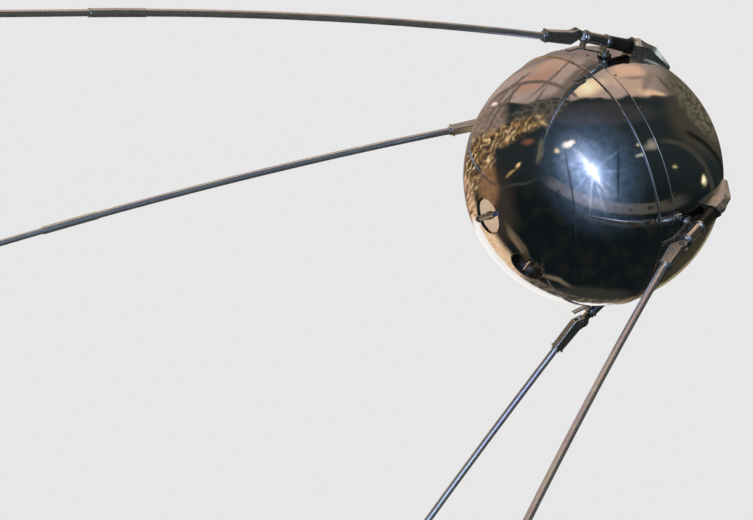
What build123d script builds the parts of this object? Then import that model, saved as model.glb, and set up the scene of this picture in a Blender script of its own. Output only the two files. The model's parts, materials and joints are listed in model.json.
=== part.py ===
import os
from math import acos, cos, degrees, radians, sin, sqrt

from build123d import *

# Early artificial satellite: a polished metal sphere with four whip antennas swept back
# from folding mounts. Millimetres. Origin at the sphere's centre, +X to the nose, +Z up.
# Each antenna lies in a plane through the X axis, at its clock angle from +Y towards +Z.

# Sphere
sphere_radius = 292.5
shell_wall = 2.0
shield_wall = 1.0
shield_gap = 0.3
belt_rear = -38.0
belt_front = 4.0
belt_proud = 1.2
belt_wall = 5.5
belt_edge_round = 0.9
bead_radius = 3.0
bead_proud = 0.5
flange_rear = -25.0
flange_front = -9.0
flange_depth = 30.0

# Screws along the shield's rear edge
screw_count = 18
screw_row = 6.5
screw_first_clock = 10.0
screw_radius = 3.0
screw_height = 1.3

# Power block inside
block_clearance = 30.0
block_length_share = 0.63
block_flange_lap = 10.0
block_flange_wall = 6.0

# Ports in the rear shell
port_hole_radius = 42.0
port_lip = 8.0
port_ring_gap = 4.0
port_wall = 3.0
port_fit = 0.3
lower_port_angle = 28.0
lower_port_depth = 13.0
aft_disc_sink = 4.0
aft_bar_turn = 12.0
aft_bar_length = 80.0
aft_bar_radius = 6.0
aft_bar_gap = 1.5
lower_bar_turn = -7.0
lower_bar_length = 48.0
lower_bar_radius = 4.5
lower_bar_gap = 4.0
bar_end_chamfer = 1.0
bar_boss_radius = 9.0

# Antenna mounts, measured along the mount's axis from its nearest point to the sphere
mount_angle = 27.0
axis_clearance = 16.5
seat_gap = 0.1
fairing_depth = 45.0
flange_seat = 38.0
flange_plate = 4.0
flange_lip = 2.5
insulator_radius = 14.2
insulator_length = 64.0
insulator_flare = 1.0
insulator_step = 1.6
insulator_step_length = 6.0
barrel_radius = 13.0
barrel_end = 182.0
barrel_end_chamfer = 1.5
lug_wall = 5.0
lug_radius = 15.5
lug_fit = 0.05
front_lug = 111.0
rear_lug = 172.0
strap_wall = 4.0
strap_depth = 24.0
strap_bend = 182.0
strap_rear = 211.0
strap_drop = 12.0
strap_half_width = 5.5
stem_half_width = 8.0
foot_radius = 16.0
foot_height = 4.0
boss_radius = 10.5
boss_flare = 3.0

# Fairing sections along the mount's axis: place, half width, height of the shoulder, half width
# and height of the crest
fairing_sections = [
    (34.0, 13.0, 7.0, 4.0, 18.5),
    (16.0, 13.0, 8.0, 3.5, 21.5),
    (-7.0, 13.0, 9.0, 4.0, 15.5),
    (-39.0, 10.0, -4.0, 4.0, 10.5),
    (-101.0, 3.5, -28.0, 1.5, -25.0),
]

# Hinge and yoke. The pin stands a little outboard of the mount's axis
hinge_reach = 202.0
hinge_rise = 3.0
tongue_half_width = 4.0
tongue_radius = 9.0
pin_radius = 4.0
pin_fit = 0.05
pin_head_radius = 6.5
pin_head_height = 1.6
ear_radius = 12.0
ear_wall = 4.7
ear_lower_clock = 215.0
hinge_side_gap = 0.3
yoke_slot_clear = 1.5
yoke_neck = 16.0
yoke_neck_height = 4.5
yoke_corner = 14.0
yoke_length = 83.0
yoke_depth = 25.0
yoke_edge_round = 3.0
end_plate_wall = 4.0
end_plate_lip = 1.5
end_plate_round = 3.0
yoke_collar_radius = 10.5
yoke_collar_wall = 6.0

# Whips: an inner tube, a sleeve and an outer tube, sagging under their own weight
whip_offset = 14.0
inner_radius = 8.0
outer_radius = 7.2
sleeve_radius = 9.2
sleeve_fit = 0.05
sleeve_length = 130.0
short_whip = 2400.0
long_whip = 2900.0
inner_bow = 11500.0
outer_bow = 80000.0
droop = Vector(-0.318, 0.324, -0.891)

# Antennas: name, clock angle, rest angle of the whip to the X axis, reach of the tubes' joint
# and of the whip's end from the hinge
antennas = [
    ("upper_left", 45.0, 15.5, 1070.0, short_whip),
    ("upper_right", 135.0, 23.0, 1250.0, short_whip),
    ("lower_right", 225.0, 35.4, 1250.0, long_whip),
    ("lower_left", 315.0, 39.6, 1250.0, long_whip),
]

os.makedirs("parts", exist_ok=True)

axis_height = sphere_radius + axis_clearance


def radial(clock):
    """Unit vector square to the X axis at a clock angle."""
    return Vector(0, cos(radians(clock)), sin(radians(clock)))


def swept(clock, angle):
    """Unit vector that points backwards and outwards at an angle to the X axis."""
    return Vector(-cos(radians(angle)), 0, 0) + radial(clock) * sin(radians(angle))


def outward(clock, angle):
    """Unit vector square to swept(), away from the X axis."""
    return Vector(sin(radians(angle)), 0, 0) + radial(clock) * cos(radians(angle))


def antenna_plane(clock, angle, origin):
    """Plane of one antenna: local x along the swept direction, local y outwards."""
    along = swept(clock, angle)
    return Plane(origin=origin, x_dir=along, z_dir=along.cross(outward(clock, angle)))


def port_plane(angle, turn):
    """Plane square to a port's axis, at the sphere's centre, with x along the port's bar."""
    axis = Vector(-cos(radians(angle)), 0, -sin(radians(angle)))
    level = Vector(0, 1, 0)
    across = level.rotate(Axis((0, 0, 0), axis), -turn)
    return Plane(origin=(0, 0, 0), x_dir=across, z_dir=axis)


def along_port(plane):
    """Plane through a port's axis, with x along the port's bar and y along the axis."""
    return Plane(origin=plane.origin, x_dir=plane.x_dir, z_dir=plane.x_dir.cross(plane.z_dir))


def cap_height(radius, half_width):
    """Height of a sphere's surface over the plane through its centre, off its axis."""
    return sqrt(radius**2 - half_width**2)


# Rear half shell, with the two round port holes
with BuildPart() as rear_shell:
    with BuildSketch():
        Circle(sphere_radius)
        Circle(sphere_radius - shell_wall, mode=Mode.SUBTRACT)
        with Locations((belt_rear, 0)):
            Rectangle(
                sphere_radius * 2, sphere_radius * 2, align=(Align.MAX, Align.MIN), mode=Mode.INTERSECT
            )
    revolve(axis=Axis.X)
    for port_angle in (0.0, lower_port_angle):
        with BuildSketch(port_plane(port_angle, 0).offset(sphere_radius / 2)):
            Circle(port_hole_radius)
        extrude(amount=sphere_radius, mode=Mode.SUBTRACT)
rear_shell.part.label = "rear_shell"
export_step(rear_shell.part, "parts/rear_shell.step")

# Belt over the joint of the two halves, with a round bead along its rear edge and the inner
# flange that carries the power block
flange_bore = sphere_radius - flange_depth
bead_place = belt_rear + bead_radius
with BuildPart() as joint_belt:
    with BuildSketch():
        Circle(sphere_radius + belt_proud)
        Circle(sphere_radius + belt_proud - belt_wall, mode=Mode.SUBTRACT)
        with Locations((belt_rear, 0)):
            Rectangle(
                belt_front - belt_rear,
                sphere_radius * 2,
                align=(Align.MIN, Align.MIN),
                mode=Mode.INTERSECT,
            )
        with Locations((flange_rear, flange_bore)):
            Rectangle(
                flange_front - flange_rear,
                sphere_radius + belt_proud - belt_wall / 2 - flange_bore,
                align=(Align.MIN, Align.MIN),
            )
        with Locations((bead_place, cap_height(sphere_radius + bead_proud, bead_place))):
            Circle(bead_radius)
    revolve(axis=Axis.X)
    front_edge = joint_belt.edges().filter_by(GeomType.CIRCLE).sort_by(SortBy.RADIUS)
    front_edge = front_edge.filter_by(lambda edge: abs(edge.center().X - belt_front) < shield_gap)
    fillet(front_edge[-1], radius=belt_edge_round)
joint_belt.part.label = "joint_belt"
export_step(joint_belt.part, "parts/joint_belt.step")

# Front half shell and the thin polished shield over it: name, outer radius, wall
front_shells = [
    ("front_shell", sphere_radius - shield_wall - shield_gap, shell_wall),
    ("heat_shield", sphere_radius, shield_wall),
]
for shell_name, shell_radius, wall in front_shells:
    with BuildPart() as front_half:
        with BuildSketch():
            Circle(shell_radius)
            Circle(shell_radius - wall, mode=Mode.SUBTRACT)
            with Locations((belt_front, 0)):
                Rectangle(
                    sphere_radius * 2,
                    sphere_radius * 2,
                    align=(Align.MIN, Align.MIN),
                    mode=Mode.INTERSECT,
                )
        revolve(axis=Axis.X)
    front_half.part.label = shell_name
    export_step(front_half.part, f"parts/{shell_name}.step")

# Domed screws along the shield's rear edge
screw_x = belt_front + screw_row
screw_polar = degrees(acos(screw_x / sphere_radius))
with BuildPart() as shield_screws:
    for number in range(screw_count):
        clock = screw_first_clock + number * 360.0 / screw_count
        normal = Vector(cos(radians(screw_polar)), 0, 0) + radial(clock) * sin(radians(screw_polar))
        with BuildSketch(Plane(origin=normal * sphere_radius, z_dir=normal)):
            Circle(screw_radius)
        extrude(amount=screw_height, taper=20)
shield_screws.part.label = "shield_screws"
export_step(shield_screws.part, "parts/shield_screws.step")

# Octagonal power block, seated by its flange on the belt's inner flange
block_length = sphere_radius * block_length_share * sqrt(2)
with BuildPart() as battery_block:
    with BuildSketch(Plane.YZ.offset(-block_length / 2)):
        RegularPolygon(flange_bore - block_clearance, 8)
    extrude(amount=block_length)
    with BuildSketch(Plane.YZ.offset(flange_front)):
        Circle(flange_bore + block_flange_lap)
    extrude(amount=block_flange_wall)
battery_block.part.label = "battery_block"
export_step(battery_block.part, "parts/battery_block.step")

# Aft port: a flat disc in a ring groove, with a bar across it
shell_inside = sphere_radius - shell_wall - port_fit
rim_height = cap_height(sphere_radius, port_hole_radius)
aft_disc_top = rim_height - aft_disc_sink
groove_floor = aft_disc_top - port_wall
lip_radius = port_hole_radius + port_lip
aft_plane = port_plane(0, aft_bar_turn)
aft_axis = Axis((0, 0, 0), aft_plane.z_dir)
with BuildPart() as aft_port_disc:
    with BuildSketch(along_port(aft_plane)):
        Circle(shell_inside)
        with Locations((0, groove_floor - port_wall)):
            Rectangle(
                lip_radius, sphere_radius, align=(Align.MIN, Align.MIN), mode=Mode.INTERSECT
            )
        with Locations((0, groove_floor)):
            Rectangle(
                port_hole_radius, sphere_radius, align=(Align.MIN, Align.MIN), mode=Mode.SUBTRACT
            )
        with Locations((0, groove_floor)):
            Rectangle(
                port_hole_radius - port_ring_gap,
                aft_disc_top - groove_floor,
                align=(Align.MIN, Align.MIN),
            )
    revolve(axis=aft_axis)
aft_port_disc.part.label = "aft_port_disc"
export_step(aft_port_disc.part, "parts/aft_port_disc.step")

# Lower port: a round cup sunk in the shell, with a shorter bar
lower_plane = port_plane(lower_port_angle, lower_bar_turn)
lower_axis = Axis((0, 0, 0), lower_plane.z_dir)
cup_floor = rim_height - lower_port_depth
cup_radius = port_hole_radius - port_fit
with BuildPart() as lower_port_cup:
    with BuildSketch(along_port(lower_plane)):
        Circle(shell_inside)
        with Locations((0, cup_floor - port_wall)):
            Rectangle(
                lip_radius, sphere_radius, align=(Align.MIN, Align.MIN), mode=Mode.INTERSECT
            )
        with Locations((0, cup_floor - port_wall)):
            Rectangle(cup_radius, rim_height - cup_floor + port_wall, align=(Align.MIN, Align.MIN))
        with Locations((0, cup_floor)):
            Rectangle(
                cup_radius - port_wall, sphere_radius, align=(Align.MIN, Align.MIN), mode=Mode.SUBTRACT
            )
    revolve(axis=lower_axis)
lower_port_cup.part.label = "lower_port_cup"
export_step(lower_port_cup.part, "parts/lower_port_cup.step")

# Height of each bar's axis over what its boss stands on
aft_bar_height = aft_bar_gap + aft_bar_radius
lower_bar_height = lower_bar_gap + lower_bar_radius

# Bars across the ports: name, plane, seat height, bar height over the seat, length, radius
port_bars = [
    ("aft_port_bar", aft_plane, aft_disc_top, aft_bar_height, aft_bar_length, aft_bar_radius),
    ("lower_port_bar", lower_plane, cup_floor, lower_bar_height, lower_bar_length, lower_bar_radius),
]
for bar_name, plane, seat, height, length, radius in port_bars:
    with BuildPart() as port_bar:
        with BuildSketch(plane.offset(seat)):
            Circle(bar_boss_radius)
        extrude(amount=height)
        bar_start = plane.origin + plane.z_dir * (seat + height) - plane.x_dir * (length / 2)
        with BuildSketch(Plane(origin=bar_start, z_dir=plane.x_dir)):
            Circle(radius)
        extrude(amount=length)
        ends = port_bar.edges().filter_by(GeomType.CIRCLE).sort_by(Axis(bar_start, plane.x_dir))
        chamfer([ends[0], ends[-1]], length=bar_end_chamfer)
    port_bar.part.label = bar_name
    export_step(port_bar.part, f"parts/{bar_name}.step")


def square_to(plane, reach):
    """Plane square to an antenna plane's x axis, at a reach along it, with local y outwards."""
    return Plane(
        origin=plane.origin + plane.x_dir * reach, x_dir=plane.z_dir * -1, z_dir=plane.x_dir
    )


def bend(start, heading, bow, radius, length):
    """Point, heading and bow direction after a length of an arc that turns towards bow."""
    turn = length / radius
    point = start + bow * (radius * (1 - cos(turn))) + heading * (radius * sin(turn))
    return point, heading * cos(turn) + bow * sin(turn), bow * cos(turn) - heading * sin(turn)


def roof(half_width, shoulder, crest_half_width, crest):
    """Edges of a fairing section: a narrow crest on sloping shoulders and straight sides."""
    with BuildLine() as outline:
        Polyline(
            (-half_width, -fairing_depth),
            (half_width, -fairing_depth),
            (half_width, shoulder),
            (crest_half_width, crest),
            (-crest_half_width, crest),
            (-half_width, shoulder),
            close=True,
        )
    return outline.edges()


# Mount, hinge and whip of each antenna
flange_front_face = flange_seat - flange_plate
insulator_end = flange_seat + insulator_length
yoke_half_width = tongue_half_width + hinge_side_gap + ear_wall
whip_start = yoke_length + end_plate_wall + yoke_collar_wall
rear_half_width, rear_shoulder, rear_flat, rear_crest = fairing_sections[0][1:]
flange_outline = (
    rear_half_width + flange_lip,
    rear_shoulder + flange_lip / 2,
    rear_flat + flange_lip / 2,
    rear_crest + flange_lip,
)
for name, clock, rest_angle, joint_reach, whip_reach in antennas:
    mount = antenna_plane(clock, mount_angle, outward(clock, mount_angle) * axis_height)
    mount_axis = Axis(mount.origin, mount.x_dir)

    # Faceted fairing that runs down to a blunt tip, and the flange behind the insulator
    with BuildPart() as fairing:
        for place, half_width, shoulder, crest_half_width, crest in fairing_sections:
            with BuildSketch(square_to(mount, place)):
                make_face(roof(half_width, shoulder, crest_half_width, crest))
        loft(ruled=True)
        with BuildSketch(square_to(mount, flange_front_face)):
            make_face(roof(*flange_outline))
        extrude(amount=flange_plate)
        Sphere(sphere_radius + seat_gap, mode=Mode.SUBTRACT)
    fairing.part.label = f"{name}_fairing"
    export_step(fairing.part, f"parts/{name}_fairing.step")

    # Black insulator between the flange and the barrel: a slight cone with a step at its root
    with BuildPart() as insulator:
        with BuildSketch(mount):
            with BuildLine():
                Polyline(
                    (flange_seat, 0),
                    (flange_seat, insulator_radius + insulator_flare + insulator_step),
                    (flange_seat + insulator_step_length, insulator_radius + insulator_flare + insulator_step),
                    (flange_seat + insulator_step_length, insulator_radius + insulator_flare),
                    (insulator_end, insulator_radius),
                    (insulator_end, 0),
                    close=True,
                )
            make_face()
        revolve(axis=mount_axis)
    insulator.part.label = f"{name}_insulator"
    export_step(insulator.part, f"parts/{name}_insulator.step")

    # Polished barrel, with the flat tongue that carries the hinge pin
    hinge = mount.origin + mount.x_dir * hinge_reach + mount.y_dir * hinge_rise
    with BuildPart() as barrel:
        with BuildSketch(square_to(mount, insulator_end)):
            Circle(barrel_radius)
        extrude(amount=barrel_end - insulator_end)
        rear_rim = barrel.edges().filter_by(GeomType.CIRCLE).sort_by(mount_axis)[-1]
        chamfer(rear_rim, length=barrel_end_chamfer)
        with BuildSketch(mount):
            with BuildLine():
                Polyline(
                    (barrel_end - tongue_radius, -tongue_radius),
                    (hinge_reach, hinge_rise - tongue_radius),
                    (hinge_reach, hinge_rise + tongue_radius),
                    (barrel_end - tongue_radius, tongue_radius),
                    close=True,
                )
            make_face()
            with Locations((hinge_reach, hinge_rise)):
                Circle(tongue_radius)
                Circle(pin_radius + pin_fit, mode=Mode.SUBTRACT)
        extrude(amount=tongue_half_width, both=True)
    barrel.part.label = f"{name}_barrel"
    export_step(barrel.part, f"parts/{name}_barrel.step")

    # Bracket: a boss on the shell, a strap, and two lugs that hold the barrel
    foot_normal = (mount.origin + mount.x_dir * front_lug).normalized()
    foot_plane = Plane(origin=foot_normal * sphere_radius, z_dir=foot_normal)
    strap_start = front_lug - lug_wall / 2
    strap_low = -strap_depth - strap_wall
    with BuildPart() as bracket:
        with BuildSketch(mount):
            with BuildLine():
                Polyline(
                    (strap_start, -strap_depth),
                    (strap_bend, -strap_depth),
                    (strap_rear, -strap_depth - strap_drop),
                    (strap_rear, strap_low - strap_drop),
                    (strap_bend, strap_low),
                    (strap_start, strap_low),
                    close=True,
                )
            make_face()
        extrude(amount=strap_half_width, both=True)
        for lug in (front_lug, rear_lug):
            with BuildSketch(square_to(mount, lug - lug_wall / 2)):
                Circle(lug_radius)
                Rectangle(
                    stem_half_width * 2,
                    strap_depth + strap_wall / 2,
                    align=(Align.CENTER, Align.MAX),
                )
                Circle(barrel_radius + lug_fit, mode=Mode.SUBTRACT)
            extrude(amount=lug_wall)
        with BuildSketch(foot_plane.offset(foot_height)):
            Circle(boss_radius + boss_flare)
        with BuildSketch(foot_plane.offset(foot_height + boss_flare)):
            Circle(boss_radius)
        loft()
        with BuildSketch(foot_plane.offset(foot_height + boss_flare)):
            Circle(boss_radius)
        extrude(amount=strap_wall + lug_wall / 2)
    bracket.part.label = f"{name}_bracket"
    export_step(bracket.part, f"parts/{name}_bracket.step")

    # Dark round pad between the boss and the shell
    with BuildPart() as foot_pad:
        with BuildSketch(foot_plane.offset(-foot_height / 2)):
            Circle(foot_radius)
        extrude(amount=foot_height * 3 / 2)
        Sphere(sphere_radius + seat_gap, mode=Mode.SUBTRACT)
    foot_pad.part.label = f"{name}_foot_pad"
    export_step(foot_pad.part, f"parts/{name}_foot_pad.step")

    # Hinge pin with its two heads
    head_seat = yoke_half_width + hinge_side_gap
    with BuildPart() as hinge_pin:
        with BuildSketch(Plane(origin=hinge, z_dir=mount.z_dir)):
            Circle(pin_radius)
        extrude(amount=head_seat, both=True)
        for side in (1, -1):
            head_start = hinge + mount.z_dir * (side * head_seat)
            with BuildSketch(Plane(origin=head_start, z_dir=mount.z_dir * side)):
                Circle(pin_head_radius)
            extrude(amount=pin_head_height)
    hinge_pin.part.label = f"{name}_hinge_pin"
    export_step(hinge_pin.part, f"parts/{name}_hinge_pin.step")

    # Cranked yoke, with its two ears on the pin, an end plate and a collar at the whip's root
    fold = antenna_plane(clock, rest_angle, hinge)
    whip_origin = fold.origin - fold.y_dir * whip_offset
    whip_axis = Plane(origin=whip_origin, x_dir=fold.x_dir, z_dir=fold.z_dir)
    ear_low = (
        ear_radius * cos(radians(ear_lower_clock)),
        ear_radius * sin(radians(ear_lower_clock)),
    )
    with BuildPart() as yoke:
        with BuildSketch(fold):
            with BuildLine():
                Polyline(
                    (0, ear_radius),
                    (yoke_neck, yoke_neck_height),
                    (yoke_length, 0),
                    (yoke_length, -yoke_depth),
                    (yoke_corner, -yoke_depth),
                    ear_low,
                    close=True,
                )
            make_face()
        extrude(amount=yoke_half_width, both=True)
        long_edges = yoke.edges().filter_by(Axis(fold.origin, fold.x_dir), tolerance=4)
        fillet(long_edges, radius=yoke_edge_round)
        with BuildSketch(fold):
            Circle(ear_radius)
        extrude(amount=yoke_half_width, both=True)
        with BuildSketch(fold):
            with Locations((tongue_radius + yoke_slot_clear, 0)):
                Rectangle(yoke_depth * 2, yoke_depth * 2, align=(Align.MAX, Align.CENTER))
        extrude(amount=tongue_half_width + hinge_side_gap, both=True, mode=Mode.SUBTRACT)
        with BuildSketch(fold):
            Circle(pin_radius + pin_fit)
        extrude(amount=yoke_half_width, both=True, mode=Mode.SUBTRACT)
        plate_middle = fold.origin - fold.y_dir * (yoke_depth / 2)
        plate_plane = Plane(origin=plate_middle, x_dir=fold.x_dir, z_dir=fold.z_dir)
        with BuildSketch(square_to(plate_plane, yoke_length)):
            RectangleRounded(
                (yoke_half_width + end_plate_lip) * 2,
                yoke_depth + end_plate_lip * 2,
                end_plate_round,
            )
        extrude(amount=end_plate_wall)
        with BuildSketch(square_to(whip_axis, yoke_length + end_plate_wall)):
            Circle(yoke_collar_radius)
        extrude(amount=yoke_collar_wall)
    yoke.part.label = f"{name}_yoke"
    export_step(yoke.part, f"parts/{name}_yoke.step")

    # Whip tubes along two arcs that sag towards the droop direction
    heading = whip_axis.x_dir
    cross_droop = droop - heading * droop.dot(heading)
    inner_sag = inner_bow / cross_droop.length
    outer_sag = outer_bow / cross_droop.length
    start = whip_axis.origin + heading * whip_start
    bow = cross_droop.normalized()
    inner_length = joint_reach - whip_start
    sleeve_from = bend(start, heading, bow, inner_sag, inner_length - sleeve_length)
    joint_from = bend(start, heading, bow, inner_sag, inner_length)
    outer_length = whip_reach - joint_reach
    sleeve_bore = inner_radius + sleeve_fit
    # Columns: name, start with heading and bow, radius of the arc, length, tube radius, bore
    sections = [
        ("whip_inner", (start, heading, bow), inner_sag, inner_length, inner_radius, 0),
        ("whip_sleeve", sleeve_from, inner_sag, sleeve_length, sleeve_radius, sleeve_bore),
        ("whip_outer", joint_from, outer_sag, outer_length, outer_radius, 0),
    ]
    for section_name, (point, direction, side), sag, length, radius, bore in sections:
        with BuildPart() as whip:
            with BuildSketch(Plane(origin=point, z_dir=direction)):
                Circle(radius)
                if bore:
                    Circle(bore, mode=Mode.SUBTRACT)
            revolve(
                axis=Axis(point + side * sag, direction.cross(side)),
                revolution_arc=degrees(length / sag),
            )
        whip.part.label = f"{name}_{section_name}"
        export_step(whip.part, f"parts/{name}_{section_name}.step")
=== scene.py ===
import json
import math

import bmesh
import bpy
from mathutils import Matrix, Vector

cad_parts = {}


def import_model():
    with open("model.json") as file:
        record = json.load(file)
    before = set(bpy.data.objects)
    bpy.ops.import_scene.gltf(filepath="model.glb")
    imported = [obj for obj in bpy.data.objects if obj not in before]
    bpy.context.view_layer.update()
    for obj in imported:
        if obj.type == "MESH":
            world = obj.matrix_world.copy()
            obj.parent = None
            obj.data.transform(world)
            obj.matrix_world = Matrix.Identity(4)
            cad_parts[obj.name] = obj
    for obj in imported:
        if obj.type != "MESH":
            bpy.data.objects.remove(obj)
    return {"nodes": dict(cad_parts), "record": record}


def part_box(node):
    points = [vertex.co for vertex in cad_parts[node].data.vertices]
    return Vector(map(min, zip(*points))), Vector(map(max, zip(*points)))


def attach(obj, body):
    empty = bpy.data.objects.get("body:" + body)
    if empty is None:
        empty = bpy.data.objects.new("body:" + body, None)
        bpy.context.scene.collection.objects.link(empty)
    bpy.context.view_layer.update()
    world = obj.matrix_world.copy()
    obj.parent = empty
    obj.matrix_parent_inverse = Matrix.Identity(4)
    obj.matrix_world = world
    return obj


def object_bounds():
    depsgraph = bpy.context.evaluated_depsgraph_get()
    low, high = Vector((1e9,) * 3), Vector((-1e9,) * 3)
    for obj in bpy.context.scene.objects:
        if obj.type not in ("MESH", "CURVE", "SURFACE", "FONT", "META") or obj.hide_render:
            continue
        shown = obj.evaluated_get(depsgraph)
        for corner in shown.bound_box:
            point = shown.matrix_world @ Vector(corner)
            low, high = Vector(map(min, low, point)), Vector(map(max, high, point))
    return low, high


# A polished metal sphere with four whip antennas. Metres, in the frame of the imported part:
# origin at the sphere's centre, +X to the nose, +Y to the left, +Z up.

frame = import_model()
cad_low, cad_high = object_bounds()
nodes = frame["nodes"]

# Floor, a little below the lowest point
floor_gap = 0.2
floor_height = cad_low[2] - floor_gap
floor_radius = 220.0
floor_color = (0.80, 0.79, 0.77)

# Camera: place and axes, with lens and sensor in millimetres
camera_place = Vector((-3.5034, -5.7055, -1.0330))
camera_right = Vector((0.8347, -0.3501, -0.4252))
camera_up = Vector((0.3182, -0.3236, 0.8911))
camera_back = camera_right.cross(camera_up)
focal_length = 143.4
sensor_width = 36.0

# Raised rim on the belt's front edge. Its section is a tenth wider along X than it is high
rim_place = 0.0026
rim_radius = 0.2929
rim_half_height = 0.0017
rim_half_width = 1.1 * rim_half_height

# Round knob on the left end of the aft bar. Columns of its profile: place along the bar, radius
bar_turn = math.radians(12.0)
bar_along = Vector((0.0, math.cos(bar_turn), math.sin(bar_turn)))
bar_middle = Vector((-0.2930, 0.0, 0.0))
knob_profile = [
    (0.0285, 0.0050),
    (0.0290, 0.0066),
    (0.0300, 0.0072),
    (0.0345, 0.0074),
    (0.0390, 0.0072),
    (0.0402, 0.0064),
    (0.0406, 0.0040),
]

# Edges sharper than this stay sharp on both pieces
smooth_limit = math.radians(40.0)


# Node helpers


class Shader:
    """Builds the nodes of one material or world, with short calls for the maths."""

    def __init__(self, tree):
        self.tree = tree
        tree.nodes.clear()

    def node(self, kind, inputs=None, **settings):
        made = self.tree.nodes.new(kind)
        for key, value in settings.items():
            setattr(made, key, value)
        for key, value in (inputs or {}).items():
            self.feed(made.inputs[key], value)
        return made

    def feed(self, socket, value):
        if isinstance(value, bpy.types.NodeSocket):
            self.tree.links.new(value, socket)
        elif isinstance(value, (tuple, list)) and socket.type == "RGBA" and len(value) == 3:
            socket.default_value = (*value, 1.0)
        else:
            socket.default_value = value

    def math(self, operation, a, b=0.0):
        return self.node("ShaderNodeMath", {0: a, 1: b}, operation=operation).outputs[0]

    def times(self, a, b):
        return self.math("MULTIPLY", a, b)

    def mix(self, factor, a, b, blend="MIX"):
        made = self.node("ShaderNodeMix", data_type="RGBA", blend_type=blend)
        self.feed(made.inputs["Factor"], factor)
        self.feed(made.inputs["A"], a)
        self.feed(made.inputs["B"], b)
        return made.outputs["Result"]

    def between(self, value, start, end, first=0.0, last=1.0):
        """Smooth step from first to last, as the value goes from start to end."""
        made = self.node(
            "ShaderNodeMapRange",
            {"Value": value, "From Min": start, "From Max": end, "To Min": first, "To Max": last},
            interpolation_type="SMOOTHSTEP",
        )
        return made.outputs["Result"]

    def fade(self, first, second, value, start, end):
        """From one colour to another, as the value goes from start to end."""
        return self.mix(self.between(value, start, end), first, second)

    def noise(self, vector, scale, detail=3.0, roughness=0.5):
        made = self.node(
            "ShaderNodeTexNoise",
            {"Vector": vector, "Scale": scale, "Detail": detail, "Roughness": roughness},
        )
        return made.outputs["Fac"]

    def stretched(self, vector, scale, turn=(0.0, 0.0, 0.0)):
        made = self.node(
            "ShaderNodeMapping",
            {"Vector": vector, "Scale": scale, "Rotation": [math.radians(a) for a in turn]},
        )
        return made.outputs["Vector"]

    def vector(self, operation, *values):
        made = self.node("ShaderNodeVectorMath", dict(enumerate(values)), operation=operation)
        return made.outputs["Vector"]

    def measure(self, operation, *vectors):
        """A number from vectors, such as a length."""
        made = self.node("ShaderNodeVectorMath", dict(enumerate(vectors)), operation=operation)
        return made.outputs["Value"]

    def object_place(self):
        return self.node("ShaderNodeTexCoord").outputs["Object"]

    def background(self, color, strength):
        return self.node("ShaderNodeBackground", {"Color": color, "Strength": strength}).outputs[0]

    def choose(self, factor, a, b):
        return self.node("ShaderNodeMixShader", {0: factor, 1: a, 2: b}).outputs[0]


def new_material(name):
    material = bpy.data.materials.new(name)
    material.use_nodes = True
    return material, Shader(material.node_tree)


def finish_surface(shader, color, metallic, roughness, bump=None, bump_depth=0.0):
    inputs = {"Base Color": color, "Metallic": metallic, "Roughness": roughness}
    if bump is not None:
        made = shader.node("ShaderNodeBump", {"Height": bump, "Strength": 1.0, "Distance": bump_depth})
        inputs["Normal"] = made.outputs["Normal"]
    surface = shader.node("ShaderNodeBsdfPrincipled", inputs)
    shader.node("ShaderNodeOutputMaterial", {"Surface": surface.outputs[0]})


# Materials

# Wiping scratches in two directions. Columns: scale along each axis, turn in degrees
scratches = ((260.0, 22.0, 30.0), (20.0, 35.0, 15.0))
cross_scratches = ((25.0, 210.0, 30.0), (-30.0, 10.0, 40.0))
scratch_haze = 0.6
scratch_depth = 0.0008
sheet_warm = (0.83, 0.80, 0.76)
sheet_grey = (0.76, 0.76, 0.75)
sheet_roughness = (0.035, 0.13)

tube_draw_marks = (2.0, 90.0, 90.0)
tube_clean = (0.80, 0.85, 0.84)
tube_tarnished = (0.70, 0.70, 0.80)
tube_rubbed = (0.88, 0.91, 0.90)
tube_roughness = (0.20, 0.30)
tube_metallic = 0.89

milling_stretch = 0.1
milling_turn = (0.0, 0.0, 30.0)
pore_scale = 900.0
pore_depth = 0.0001


def polished_sheet(name, dent_scale, dent_depth):
    """Spun and polished sheet: faint dents, wiping scratches and a little haze."""
    material, shader = new_material(name)
    place = shader.object_place()
    dents = shader.noise(place, dent_scale, detail=1.0)
    one_way = shader.noise(shader.stretched(place, *scratches), 1.0)
    other_way = shader.noise(shader.stretched(place, *cross_scratches), 1.0)
    fine = shader.times(one_way, other_way)
    haze = shader.noise(place, 9.0, detail=4.0, roughness=0.6)
    tint = shader.fade(sheet_warm, sheet_grey, haze, 0.35, 0.7)
    dullness = shader.math("ADD", haze, shader.times(fine, scratch_haze))
    roughness = shader.between(dullness, 0.45, 1.0, *sheet_roughness)
    height = shader.math("ADD", dents, shader.times(fine, scratch_depth))
    finish_surface(shader, tint, 1.0, roughness, height, dent_depth)
    return material


def drawn_tube(name):
    """Drawn and polished tube: faint violet tarnish in bands, and marks along it."""
    material, shader = new_material(name)
    place = shader.object_place()
    bands = shader.noise(place, 6.0)
    along = shader.noise(shader.stretched(place, tube_draw_marks), 1.0, detail=4.0)
    tint = shader.fade(tube_clean, tube_tarnished, bands, 0.40, 0.60)
    tint = shader.fade(tint, tube_rubbed, along, 0.45, 0.7)
    roughness = shader.between(along, 0.3, 0.75, *tube_roughness)
    finish_surface(shader, tint, tube_metallic, roughness)
    return material


def satin_metal(name, light, dark, dullness, grain, metallic):
    """Machined fitting: milling grain, dull spots and brighter rubbed places."""
    material, shader = new_material(name)
    place = shader.object_place()
    spots = shader.noise(place, 35.0, detail=4.0)
    milling = shader.stretched(place, (grain, grain * milling_stretch, grain), milling_turn)
    lines = shader.noise(milling, 1.0)
    tint = shader.fade(light, dark, spots, 0.35, 0.7)
    roughness = shader.between(shader.math("ADD", spots, lines), 0.7, 1.3, *dullness)
    finish_surface(shader, tint, metallic, roughness)
    return material


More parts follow.
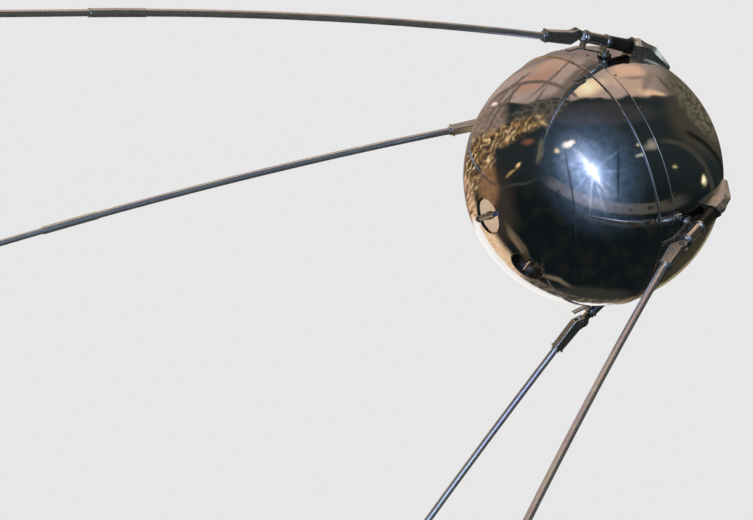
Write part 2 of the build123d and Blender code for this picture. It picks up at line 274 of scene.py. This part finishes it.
def moulded(name, color, dusty, dullness):
    """Moulded piece with a slight sheen, dust and small pores."""
    material, shader = new_material(name)
    place = shader.object_place()
    dust = shader.noise(place, 28.0, detail=5.0, roughness=0.65)
    pores = shader.noise(place, pore_scale, detail=2.0)
    tint = shader.fade(color, dusty, dust, 0.5, 0.8)
    roughness = shader.between(dust, 0.3, 0.75, *dullness)
    finish_surface(shader, tint, 0.0, roughness, pores, pore_depth)
    return material


# Columns: name, scale of the dents, their depth
sheets = [
    ("polished_shell", 4.0, 0.0016),
    ("polished_disc", 22.0, 0.0009),
]

# Columns: name, light and dark tint, range of roughness, scale of the grain, metallic
machined = [
    ("fitting_metal", (0.80, 0.82, 0.79), (0.70, 0.71, 0.69), (0.24, 0.36), 120.0, 0.97),
    ("barrel_metal", (0.84, 0.87, 0.85), (0.75, 0.76, 0.75), (0.06, 0.14), 160.0, 1.0),
    # Cup tints darker than the metal itself: painted shade inside the deep cup
    ("port_cup", (0.46, 0.44, 0.42), (0.30, 0.29, 0.28), (0.20, 0.32), 90.0, 1.0),
    # Bar tints darker and bluer than the other steel: steel colour, partly a painted reflection of dark,
    # cool surroundings
    ("port_bar", (0.44, 0.47, 0.52), (0.32, 0.34, 0.38), (0.12, 0.20), 160.0, 1.0),
    ("fastener_steel", (0.36, 0.35, 0.36), (0.24, 0.23, 0.24), (0.25, 0.45), 900.0, 0.9),
]

# Columns: name, colour, dusty colour, range of roughness
mouldings = [
    ("insulator_black", (0.012, 0.012, 0.013), (0.03, 0.028, 0.026), (0.25, 0.45)),
    ("pad_black", (0.015, 0.015, 0.02), (0.035, 0.033, 0.035), (0.35, 0.55)),
    ("power_block", (0.42, 0.43, 0.42), (0.36, 0.37, 0.36), (0.45, 0.7)),
]

# Finishes by the record's slots, and the nodes with a finish of their own
finishes = {row[0]: polished_sheet(*row) for row in sheets}
finishes["whip_metal"] = drawn_tube("whip_metal")
finishes.update({row[0]: satin_metal(*row) for row in machined})
finishes.update({row[0]: moulded(*row) for row in mouldings})
finishes["belt_metal"] = finishes["polished_shell"]
own_finishes = {
    "aft_port_disc": "polished_disc",
    "aft_port_bar": "port_bar",
    "lower_port_cup": "port_cup",
}
for subpart in frame["record"]["subparts"]:
    node_name = subpart["node"]
    finish_name = own_finishes.get(node_name, subpart["material_slot"])
    mesh = nodes[node_name].data
    mesh.materials.clear()
    mesh.materials.append(finishes[finish_name])


# Pieces


def add_mesh(name, body, made):
    bmesh.ops.recalc_face_normals(made, faces=made.faces)
    for face in made.faces:
        face.smooth = True
    mesh = bpy.data.meshes.new(name)
    made.to_mesh(mesh)
    made.free()
    mesh.set_sharp_from_angle(angle=smooth_limit)
    piece = bpy.data.objects.new(name, mesh)
    bpy.context.scene.collection.objects.link(piece)
    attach(piece, body)
    return piece


def ring(name, body, place, radius, half_height, half_width, around=288, section=12):
    """Rim about the X axis, with an oval section."""
    made = bmesh.new()
    loops = []
    for step in range(around):
        turn = math.tau * step / around
        outward = Vector((0.0, math.cos(turn), math.sin(turn)))
        loop = []
        for part in range(section):
            angle = math.tau * part / section
            lift = half_height * math.sin(angle)
            slide = half_width * math.cos(angle)
            loop.append(made.verts.new(outward * (radius + lift) + Vector((place + slide, 0.0, 0.0))))
        loops.append(loop)
    for step in range(around):
        here, there = loops[step], loops[(step + 1) % around]
        for part in range(section):
            other = (part + 1) % section
            made.faces.new((here[part], here[other], there[other], there[part]))
    return add_mesh(name, body, made)


def lathe(name, body, start, along, profile, around=64):
    """Round piece about a line."""
    side = along.orthogonal().normalized()
    other = along.cross(side)
    made = bmesh.new()
    loops = []
    for place, radius in profile:
        loop = []
        for step in range(around):
            turn = math.tau * step / around
            outward = side * math.cos(turn) + other * math.sin(turn)
            loop.append(made.verts.new(start + along * place + outward * radius))
        loops.append(loop)
    for here, there in zip(loops, loops[1:]):
        for step in range(around):
            after = (step + 1) % around
            made.faces.new((here[step], here[after], there[after], there[step]))
    made.faces.new(loops[0])
    made.faces.new(loops[-1])
    return add_mesh(name, body, made)


belt_rim = ring("belt_front_rim", "hull", rim_place, rim_radius, rim_half_height, rim_half_width)
belt_rim.data.materials.append(finishes["polished_shell"])

knob = lathe("aft_bar_knob", "hull", bar_middle, bar_along, knob_profile)
knob.data.materials.append(finishes["fastener_steel"])


# Floor


def floor():
    bpy.ops.mesh.primitive_circle_add(
        vertices=96, radius=floor_radius, fill_type="NGON", location=(0, 0, floor_height)
    )
    made = bpy.context.object
    made.name = "floor"
    material, shader = new_material("floor")
    surface = shader.node("ShaderNodeBsdfDiffuse", {"Color": floor_color})
    shader.node("ShaderNodeOutputMaterial", {"Surface": surface.outputs[0]})
    made.data.materials.append(material)
    made.visible_glossy = False


floor()

# World: plain pale for the camera. Reflections show a hall: a warm lit ceiling with beams, gilded
# clutter on the left, a bright doorway beyond the sphere, and a dark side with small lamps. The
# hall is laid out on a plan of the mirroring sphere, seen along one fixed direction: x to the
# right, y up, 1 at the rim.
plan_view = -camera_back
backdrop_color = (0.80, 0.80, 0.80)
plain_color = (0.80, 0.80, 0.79)
plain_strength = 0.55
dark_low = (0.006, 0.010, 0.012)
dark_high = (0.017, 0.025, 0.028)
dark_mottle = (0.026, 0.024, 0.018)
balcony_left = (0.115, 0.100, 0.092)
balcony_right = (0.070, 0.064, 0.054)
ceiling_left = (0.48, 0.355, 0.305)
ceiling_right = (0.235, 0.195, 0.155)
ceiling_top = (0.27, 0.21, 0.185)
beam_color = (0.17, 0.13, 0.115)
lattice_dark = (0.040, 0.044, 0.044)
lattice_light = (0.19, 0.155, 0.12)
gilt_leaf = (0.42, 0.25, 0.11)
gilt_spark = (1.05, 0.76, 0.42)
lit_leaf = (0.92, 0.60, 0.36)
tan_dark = (0.66, 0.48, 0.34)
tan_light = (0.90, 0.68, 0.48)
tan_shine = (1.0, 0.95, 0.86)
doorway_color = (1.05, 1.02, 1.0)
rim_color = (0.34, 0.25, 0.20)

# Plans with wandering edges. Columns: name, amount, scale of the noise
wandering = [
    ("soft", 0.06, 5.0),
    ("fine", 0.018, 26.0),
    ("torn", 0.045, 22.0),
]

# Low contrast shapes of the dark side. Columns: centre, half sizes, turn in degrees, softness,
# colour
dim_spots = [
    ((0.02, 0.46), (0.42, 0.085), 0.0, 0.30, (0.046, 0.046, 0.050)),
    ((0.80, 0.42), (0.30, 0.22), -45.0, 0.30, (0.060, 0.054, 0.040)),
    ((-0.72, -0.24), (0.09, 0.28), 8.0, 0.6, (0.042, 0.034, 0.028)),
    ((-0.43, 0.18), (0.022, 0.08), -12.0, 0.5, (0.15, 0.13, 0.085)),
    ((-0.52, 0.25), (0.04, 0.02), 10.0, 0.6, (0.22, 0.09, 0.055)),
    ((-0.60, -0.066), (0.14, 0.011), 14.0, 0.6, (0.055, 0.052, 0.045)),
    ((-0.60, -0.50), (0.13, 0.022), -58.0, 0.6, (0.20, 0.145, 0.09)),
    ((-0.55, -0.53), (0.10, 0.012), -55.0, 0.6, (0.12, 0.095, 0.065)),
    ((-0.28, -0.80), (0.18, 0.014), -21.0, 0.6, (0.20, 0.155, 0.11)),
    ((0.84, -0.55), (0.14, 0.40), -40.0, 0.9, (0.058, 0.050, 0.033)),
    ((0.05, -0.90), (0.36, 0.05), 0.0, 0.5, (0.036, 0.037, 0.032)),
]

# Balcony: an arc, and the part of it that shows. Columns: centre, radius, half width, softness;
# centre, half sizes, turn in degrees, softness
balcony_arc = ((0.25, 0.73), 0.990, 0.034, 0.010)
balcony_part = ((0.14, -0.20), (0.56, 0.26), -6.0, 0.15)

# Small windows in the balcony. Columns as for the dark side
windows = [
    ((-0.296, -0.128), (0.016, 0.012), -25.0, 0.5, (0.028, 0.028, 0.032)),
    ((0.145, -0.252), (0.014, 0.013), -8.0, 0.5, (0.028, 0.028, 0.032)),
    ((0.255, -0.266), (0.014, 0.012), 0.0, 0.5, (0.030, 0.030, 0.034)),
    ((0.400, -0.246), (0.018, 0.012), 25.0, 0.5, (0.024, 0.024, 0.028)),
    ((0.552, -0.190), (0.022, 0.014), 30.0, 0.5, (0.018, 0.020, 0.022)),
]

# Bright places on the ceiling. Columns as above
ceiling_spots = [
    ((-0.26, 0.86), (0.13, 0.055), 20.0, 0.4, (0.58, 0.37, 0.27)),
    ((-0.40, 0.75), (0.17, 0.05), 25.0, 0.4, (0.50, 0.29, 0.22)),
    ((-0.73, 0.54), (0.05, 0.12), -35.0, 0.4, (0.48, 0.31, 0.22)),
    ((-0.06, 0.665), (0.15, 0.055), 6.0, 0.35, (0.95, 0.70, 0.46)),
    ((-0.05, 0.665), (0.05, 0.03), 0.0, 0.7, (1.05, 0.95, 0.62)),
    ((0.18, 0.71), (0.09, 0.06), -20.0, 0.4, (0.66, 0.46, 0.33)),
    ((0.28, 0.78), (0.12, 0.055), -8.0, 0.4, (0.80, 0.50, 0.35)),
    ((0.30, 0.67), (0.08, 0.07), -40.0, 0.4, (0.62, 0.42, 0.30)),
    ((0.47, 0.585), (0.125, 0.033), -17.0, 0.4, (0.98, 0.64, 0.41)),
    ((0.22, 0.875), (0.03, 0.012), 0.0, 0.6, (0.85, 0.55, 0.35)),
    ((0.75, 0.62), (0.20, 0.16), -45.0, 0.5, (0.115, 0.10, 0.062)),
]

# Beams under the ceiling. Columns as above
beams = [
    ((-0.10, 0.75), (0.23, 0.050), 40.0, 0.35, (0.20, 0.155, 0.13)),
    ((-0.30, 0.75), (0.25, 0.009), 38.0, 0.5, (0.20, 0.15, 0.14)),
    ((-0.42, 0.60), (0.12, 0.008), 50.0, 0.5, (0.12, 0.10, 0.10)),
    ((-0.62, 0.60), (0.13, 0.008), 62.0, 0.5, (0.16, 0.12, 0.11)),
    ((-0.74, 0.46), (0.12, 0.008), 68.0, 0.5, (0.13, 0.10, 0.09)),
    ((0.42, 0.70), (0.03, 0.09), -35.0, 0.5, (0.30, 0.22, 0.17)),
    ((0.32, 0.725), (0.11, 0.010), 0.0, 0.6, (0.30, 0.22, 0.18)),
    ((0.56, 0.66), (0.10, 0.012), -50.0, 0.5, (0.12, 0.10, 0.08)),
]

# Mottled surfaces. Columns: name, range of the noise, colours at its ends
mottled = [
    ("side_wall", (0.42, 0.62), (0.36, 0.265, 0.21), (0.20, 0.15, 0.12)),
    ("olive_wall", (0.42, 0.60), (0.165, 0.145, 0.095), (0.065, 0.060, 0.042)),
    ("gilt", (0.44, 0.58), (0.024, 0.021, 0.020), (0.17, 0.10, 0.05)),
    ("lit_gilt", (0.42, 0.60), (0.62, 0.38, 0.22), (0.13, 0.08, 0.06)),
    ("gold_wall", (0.40, 0.65), (0.34, 0.18, 0.085), (0.16, 0.09, 0.05)),
    ("warm_wall", (0.40, 0.62), (1.0, 0.71, 0.46), (0.72, 0.50, 0.33)),
    ("plain_wall", (0.42, 0.60), (0.19, 0.155, 0.11), (0.05, 0.045, 0.04)),
]

# Patches of the surfaces. Columns: surface, centre, half sizes, turn in degrees, softness, plan
patches = [
    ("side_wall", (-0.86, 0.44), (0.17, 0.30), -26.0, 0.25, "soft"),
    ("olive_wall", (0.765, 0.50), (0.25, 0.085), -52.0, 0.35, "torn"),
    ("lattice", (-0.42, 0.50), (0.24, 0.09), 22.0, 0.35, "soft"),
    ("gilt", (-0.875, 0.13), (0.105, 0.24), -8.0, 0.3, "soft"),
    ("gilt", (-0.655, 0.34), (0.28, 0.075), 22.0, 0.35, "soft"),
    ("lit_gilt", (-0.955, -0.14), (0.030, 0.26), 10.0, 0.35, "fine"),
    ("gold_wall", (-0.81, -0.08), (0.065, 0.17), 4.0, 0.4, "soft"),
]
tan_patch = ("tan_wall", (-0.845, -0.32), (0.05, 0.10), -20.0, 0.3, "plain")

# Wall and doorway beyond the sphere, each outside a circle. Columns: centre, radius
wall_circle = ((0.074, 0.043), 0.985)
doorway_circle = ((0.037, 0.026), 1.0)

# Both fade in down the plan. To the left the wall turns warm and starts further in
lower_part = (-0.28, -0.38)
left_part = (-0.42, -0.62)
wall_starts = (-0.014, -0.045)
wall_full = 0.010
doorway_softness = 0.004

# Arcs. Columns: centre, radius, half width, softness, middle and half sizes of the part that
# shows, colour
arcs = [
    ((-0.46, 0.30), 0.440, 0.010, 0.008, (-0.36, 0.70), (0.34, 0.16), beam_color),
    ((0.0, 0.0), 0.925, 0.006, 0.006, (-0.70, 0.66), (0.40, 0.22), (0.20, 0.15, 0.14)),
    ((0.0, 0.0), 0.885, 0.005, 0.005, (-0.68, 0.56), (0.26, 0.22), (0.16, 0.12, 0.11)),
    ((0.50, -0.15), 0.400, 0.010, 0.012, (0.76, 0.14), (0.30, 0.26), (0.060, 0.056, 0.048)),
    ((0.45, -0.30), 0.660, 0.010, 0.014, (0.90, 0.26), (0.22, 0.34), (0.012, 0.013, 0.012)),
    ((0.25, 0.73), 1.110, 0.007, 0.008, (0.35, -0.32), (0.45, 0.14), (0.034, 0.036, 0.032)),
    ((0.0, 0.0), 0.988, 0.006, 0.012, (0.76, -0.62), (0.36, 0.44), (0.32, 0.26, 0.15)),
]

# Lamps of the hall. Columns as for the dark side
hall_lamps = [
    ((-0.215, 0.232), (0.040, 0.022), 18.0, 0.6, (1.5, 1.3, 1.05)),
    ((-0.303, 0.182), (0.018, 0.016), 0.0, 0.6, (1.0, 0.78, 0.42)),
    ((0.317, 0.217), (0.028, 0.014), -8.0, 0.6, (1.3, 1.15, 0.8)),
    ((0.405, 0.215), (0.034, 0.034), 0.0, 0.7, (0.34, 0.31, 0.27)),
    ((0.331, 0.142), (0.034, 0.009), 6.0, 0.6, (0.62, 0.62, 0.56)),
    ((-0.593, 0.080), (0.026, 0.011), 42.0, 0.6, (1.1, 0.78, 0.36)),
    ((-0.655, 0.020), (0.040, 0.008), 38.0, 0.6, (0.48, 0.33, 0.14)),
    ((-0.395, 0.395), (0.030, 0.010), -32.0, 0.6, (1.1, 0.72, 0.40)),
    ((0.824, -0.026), (0.018, 0.028), 12.0, 0.6, (1.5, 1.3, 0.80)),
    ((0.828, -0.042), (0.006, 0.008), 0.0, 0.5, (0.05, 0.04, 0.03)),
    ((0.593, 0.065), (0.016, 0.011), 0.0, 0.7, (0.66, 0.58, 0.26)),
    ((-0.710, 0.610), (0.013, 0.020), -20.0, 0.7, (1.4, 1.05, 0.95)),
    ((-0.740, 0.330), (0.020, 0.008), 30.0, 0.7, (0.90, 0.60, 0.30)),
]

# Glow and streaks of the flash, added to what is behind. Columns as above
flash = [
    ((-0.04, 0.02), (0.29, 0.23), -60.0, 1.0, (0.095, 0.165, 0.30)),
    ((-0.08, 0.04), (0.18, 0.12), -55.0, 1.0, (0.33, 0.43, 0.70)),
    ((-0.02, -0.18), (0.14, 0.09), 0.0, 1.0, (0.10, 0.11, 0.16)),
    ((-0.034, 0.03), (0.062, 0.044), -58.0, 1.0, (0.7, 0.8, 1.1)),
    ((-0.034, 0.03), (0.034, 0.024), -58.0, 0.5, (0.8, 0.8, 0.8)),
    ((-0.034, 0.015), (0.125, 0.010), -57.0, 1.0, (1.1, 1.1, 1.2)),
    ((-0.085, 0.09), (0.090, 0.022), -50.0, 1.0, (0.55, 0.60, 0.80)),
    ((-0.045, -0.08), (0.008, 0.14), -3.0, 1.0, (0.34, 0.38, 0.54)),
    ((0.000, -0.10), (0.13, 0.007), -72.0, 1.0, (0.30, 0.34, 0.50)),
    ((0.070, 0.11), (0.10, 0.006), 38.0, 1.0, (0.18, 0.24, 0.40)),
    ((-0.13, 0.06), (0.10, 0.008), -12.0, 1.0, (0.16, 0.22, 0.40)),
    ((0.06, 0.02), (0.10, 0.008), 6.0, 1.0, (0.20, 0.26, 0.46)),
    ((0.03, -0.04), (0.09, 0.006), -35.0, 1.0, (0.18, 0.24, 0.42)),
    ((-0.12, -0.05), (0.10, 0.006), 48.0, 1.0, (0.16, 0.22, 0.40)),
]

# Dark posts in front of the flash. Columns as above
posts = [
    ((0.159, 0.005), (0.008, 0.19), 0.0, 0.3, (0.006, 0.012, 0.026)),
    ((-0.185, -0.20), (0.006, 0.24), 7.5, 0.6, (0.028, 0.040, 0.058)),
    ((-0.226, 0.03), (0.005, 0.13), 6.8, 0.6, (0.060, 0.085, 0.13)),
]


class Hall:
    """The hall in the reflections, painted on its plan from back to front."""

    def __init__(self, shader):
        self.shader = shader
        direction = shader.node("ShaderNodeTexCoord").outputs["Generated"]
        half = shader.vector("SUBTRACT", direction, plan_view)
        reach = shader.measure("LENGTH", half)
        self.across = shader.math("DIVIDE", shader.measure("DOT_PRODUCT", half, camera_right), reach)
        self.height = shader.math("DIVIDE", shader.measure("DOT_PRODUCT", half, camera_up), reach)
        self.plan = shader.node("ShaderNodeCombineXYZ", {"X": self.across, "Y": self.height}).outputs[0]
        self.plans = {"plain": self.plan}
        for name, amount, scale in wandering:
            self.plans[name] = self.wavy(amount, scale)
        self.mottle = shader.noise(self.plan, 9.0, detail=5.0, roughness=0.6)
        self.grain = shader.noise(self.plans["fine"], 30.0, roughness=0.6)
        self.surfaces = self.make_surfaces()

    def wavy(self, amount, scale):
        """The plan, shifted a little by noise."""
        wander = self.shader.node("ShaderNodeTexNoise", {"Vector": self.plan, "Scale": scale, "Detail": 2.0})
        offset = self.shader.vector("SUBTRACT", wander.outputs["Color"], (0.5, 0.5, 0.5))
        return self.shader.vector("MULTIPLY_ADD", offset, (amount, amount, 0.0), self.plan)

    def spot(self, center, half_sizes, turn, soft, plan="plain"):
        """1 inside an ellipse, 0 outside its soft edge."""
        placed = self.shader.node(
            "ShaderNodeMapping",
            {
                "Vector": self.plans[plan],
                "Location": (*center, 0.0),
                "Rotation": (0.0, 0.0, math.radians(turn)),
                "Scale": (*half_sizes, 1.0),
            },
            vector_type="TEXTURE",
        )
        away = self.shader.measure("LENGTH", placed.outputs["Vector"])
        return self.shader.between(away, 1.0 + soft, 1.0 - soft)

    def off_circle(self, center, radius):
        """Distance outside a circle."""
        away = self.shader.measure("DISTANCE", self.plans["fine"], (*center, 0.0))
        return self.shader.math("SUBTRACT", away, radius)

    def arc(self, center, radius, half_width, soft):
        away = self.shader.math("ABSOLUTE", self.off_circle(center, radius))
        return self.shader.between(away, half_width + soft, half_width)

    def draw(self, seen, rows, plan, blend="MIX"):
        for center, half_sizes, turn, soft, color in rows:
            seen = self.shader.mix(self.spot(center, half_sizes, turn, soft, plan), seen, color, blend)
        return seen

    def patch(self, seen, surface, *ellipse):
        return self.shader.mix(self.spot(*ellipse), seen, self.surfaces[surface])

    def make_surfaces(self):
        shader = self.shader
        made = {}
        for name, limits, first, second in mottled:
            made[name] = shader.fade(first, second, self.grain, *limits)

        leaves = shader.node(
            "ShaderNodeTexWave",
            {
                "Vector": shader.stretched(self.plans["soft"], (1.0, 1.0, 1.0), (0.0, 0.0, 35.0)),
                "Scale": 6.5,
                "Distortion": 12.0,
                "Detail": 3.0,
                "Detail Scale": 2.0,
                "Detail Roughness": 0.6,
            },
        ).outputs["Fac"]
        gilt = shader.fade(made["gilt"], gilt_leaf, leaves, 0.62, 0.78)
        sparse = shader.between(shader.noise(self.plan, 13.0), 0.46, 0.56)
        spark = shader.times(shader.between(leaves, 0.84, 0.94), sparse)
        made["gilt"] = shader.mix(spark, gilt, gilt_spark)
        made["lit_gilt"] = shader.fade(made["lit_gilt"], lit_leaf, leaves, 0.66, 0.82)

        curls = shader.node(
            "ShaderNodeTexVoronoi",
            {
                "Vector": shader.stretched(self.plans["fine"], (1.0, 1.7, 1.0), (0.0, 0.0, -38.0)),
                "Scale": 13.0,
            },
            feature="DISTANCE_TO_EDGE",
        ).outputs["Distance"]
        made["lattice"] = shader.fade(lattice_dark, lattice_light, curls, 0.10, 0.03)

        sheen = shader.noise(self.plan, 34.0, detail=2.0)
        tan = shader.fade(tan_dark, tan_light, sheen, 0.40, 0.60)
        made["tan_wall"] = shader.fade(tan, tan_shine, sheen, 0.64, 0.70)
        return made

    def paint_dark_side(self):
        shader = self.shader
        seen = shader.fade(dark_low, dark_high, self.height, -0.25, 0.15)
        seen = shader.mix(shader.between(self.mottle, 0.45, 0.75, 0.0, 0.6), seen, dark_mottle)
        return self.draw(seen, dim_spots, "soft")

    def paint_balcony(self, seen):
        shader = self.shader
        front = shader.fade(balcony_left, balcony_right, self.across, 0.1, 0.6)
        front = self.draw(front, windows, "fine")
        share = shader.times(self.arc(*balcony_arc), self.spot(*balcony_part))
        return shader.mix(share, seen, front)

    def paint_ceiling(self, seen):
        shader = self.shader
        lit = shader.fade(ceiling_left, ceiling_right, self.across, 0.30, 0.62)
        lit = shader.fade(lit, ceiling_top, self.height, 0.84, 0.94)
        lit = shader.mix(shader.between(self.mottle, 0.52, 0.66, 0.0, 0.5), lit, ceiling_top)
        lit = self.draw(lit, ceiling_spots, "soft")
        lit = self.draw(lit, beams, "fine")
        ragged = shader.times(shader.noise(self.plan, 3.5, detail=2.0), 0.22)
        low_edge = shader.math("SUBTRACT", self.height, ragged)
        return shader.fade(seen, lit, low_edge, 0.465, 0.485)

    def paint_far_side(self, seen):
        """Wall and bright doorway beyond the sphere, seen along its lower rim."""
        shader = self.shader
        lower = shader.between(self.height, *lower_part)
        near_left = shader.between(self.across, *left_part)
        wall = shader.mix(near_left, self.surfaces["plain_wall"], self.surfaces["warm_wall"])
        wall_start = shader.between(self.across, *left_part, *wall_starts)
        beside = shader.between(self.off_circle(*wall_circle), wall_start, wall_full)
        seen = shader.mix(shader.times(lower, beside), seen, wall)
        seen = self.patch(seen, *tan_patch)
        doorway = shader.between(self.off_circle(*doorway_circle), -doorway_softness, doorway_softness)
        return shader.mix(shader.times(lower, doorway), seen, doorway_color)

    def paint_arcs(self, seen):
        for center, radius, half_width, soft, middle, half_sizes, color in arcs:
            part = self.spot(middle, half_sizes, 0.0, 0.2)
            share = self.shader.times(self.arc(center, radius, half_width, soft), part)
            seen = self.shader.mix(share, seen, color)
        return seen

    def paint_flash(self, seen):
        shader = self.shader
        clouds = shader.noise(self.plan, 16.0, detail=4.0, roughness=0.65)
        uneven = shader.between(clouds, 0.3, 0.7, 0.65, 1.35)
        glow = self.draw((0.0, 0.0, 0.0), flash, "plain", "ADD")
        glow = shader.node("ShaderNodeVectorMath", {0: glow, "Scale": uneven}, operation="SCALE")
        seen = shader.mix(1.0, seen, glow.outputs["Vector"], "ADD")
        return self.draw(seen, posts, "plain")

    def paint_rim(self, seen):
        shader = self.shader
        outer = shader.between(shader.measure("LENGTH", self.plan), 0.988, 0.998)
        upper = shader.between(self.height, -0.5, -0.3)
        return shader.mix(shader.times(upper, outer), seen, rim_color)

    def paint(self):
        seen = self.paint_dark_side()
        seen = self.paint_balcony(seen)
        seen = self.paint_ceiling(seen)
        for row in patches:
            seen = self.patch(seen, *row)
        seen = self.paint_far_side(seen)
        seen = self.paint_arcs(seen)
        seen = self.draw(seen, hall_lamps, "torn")
        seen = self.paint_flash(seen)
        return self.paint_rim(seen)


def world():
    made = bpy.data.worlds.new("studio")
    bpy.context.scene.world = made
    made.use_nodes = True
    shader = Shader(made.node_tree)
    reflected = shader.background(Hall(shader).paint(), 1.0)
    plain = shader.background(plain_color, plain_strength)
    backdrop = shader.background(backdrop_color, 1.0)
    path = shader.node("ShaderNodeLightPath").outputs
    shown = shader.choose(path["Is Glossy Ray"], plain, reflected)
    shown = shader.choose(path["Is Camera Ray"], shown, backdrop)
    shader.node("ShaderNodeOutputWorld", {"Surface": shown})


world()


# Lamps


def lamp(name, place, aim, size, power, color):
    data = bpy.data.lights.new(name, "AREA")
    data.shape = "DISK"
    data.size = size
    data.energy = power
    data.color = color
    made = bpy.data.objects.new(name, data)
    bpy.context.scene.collection.objects.link(made)
    made.location = place
    made.rotation_euler = (Vector(aim) - Vector(place)).to_track_quat("-Z", "Y").to_euler()
    return made


overhead = lamp(
    "overhead",
    place=(0.5, -0.5, 6.0),
    aim=(0.0, 0.0, 0.0),
    size=3.0,
    power=260.0,
    color=(1.0, 0.95, 0.88),
)
overhead.visible_glossy = False

# Two soft lamps for the facets of the upper right fairing alone. Columns: name, way to the lamp
# along the camera's right, up and back, power, colour
facet_lamps = [
    ("slope_lamp", (0.957, -0.060, -0.285), 4.0, (0.78, 0.88, 1.0)),
    ("crest_lamp", (0.917, 0.376, 0.131), 1.2, (1.0, 0.82, 0.68)),
]
facet_lamp_distance = 3.0
facet_lamp_size = 0.5
fairing_low, fairing_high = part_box("upper_right_fairing")
fairing_middle = (Vector(fairing_low) + Vector(fairing_high)) / 2
lit_by_facet_lamps = bpy.data.collections.new("facet_lamps_light")
lit_by_facet_lamps.objects.link(nodes["upper_right_fairing"])
for name, way, power, color in facet_lamps:
    aside = camera_right * way[0] + camera_up * way[1] + camera_back * way[2]
    place = fairing_middle + aside * facet_lamp_distance
    made = lamp(name, place, fairing_middle, facet_lamp_size, power, color)
    made.light_linking.receiver_collection = lit_by_facet_lamps

# Camera
camera_data = bpy.data.cameras.new("camera")
camera_data.sensor_width = sensor_width
camera_data.lens = focal_length
camera_data.clip_start = 0.05
camera_data.clip_end = 600.0
camera = bpy.data.objects.new("camera", camera_data)
bpy.context.scene.collection.objects.link(camera)
camera_axes = Matrix((camera_right, camera_up, camera_back)).transposed().to_4x4()
camera.matrix_world = Matrix.Translation(camera_place) @ camera_axes
bpy.context.scene.camera = camera
bpy.context.scene.view_settings.view_transform = "Standard"
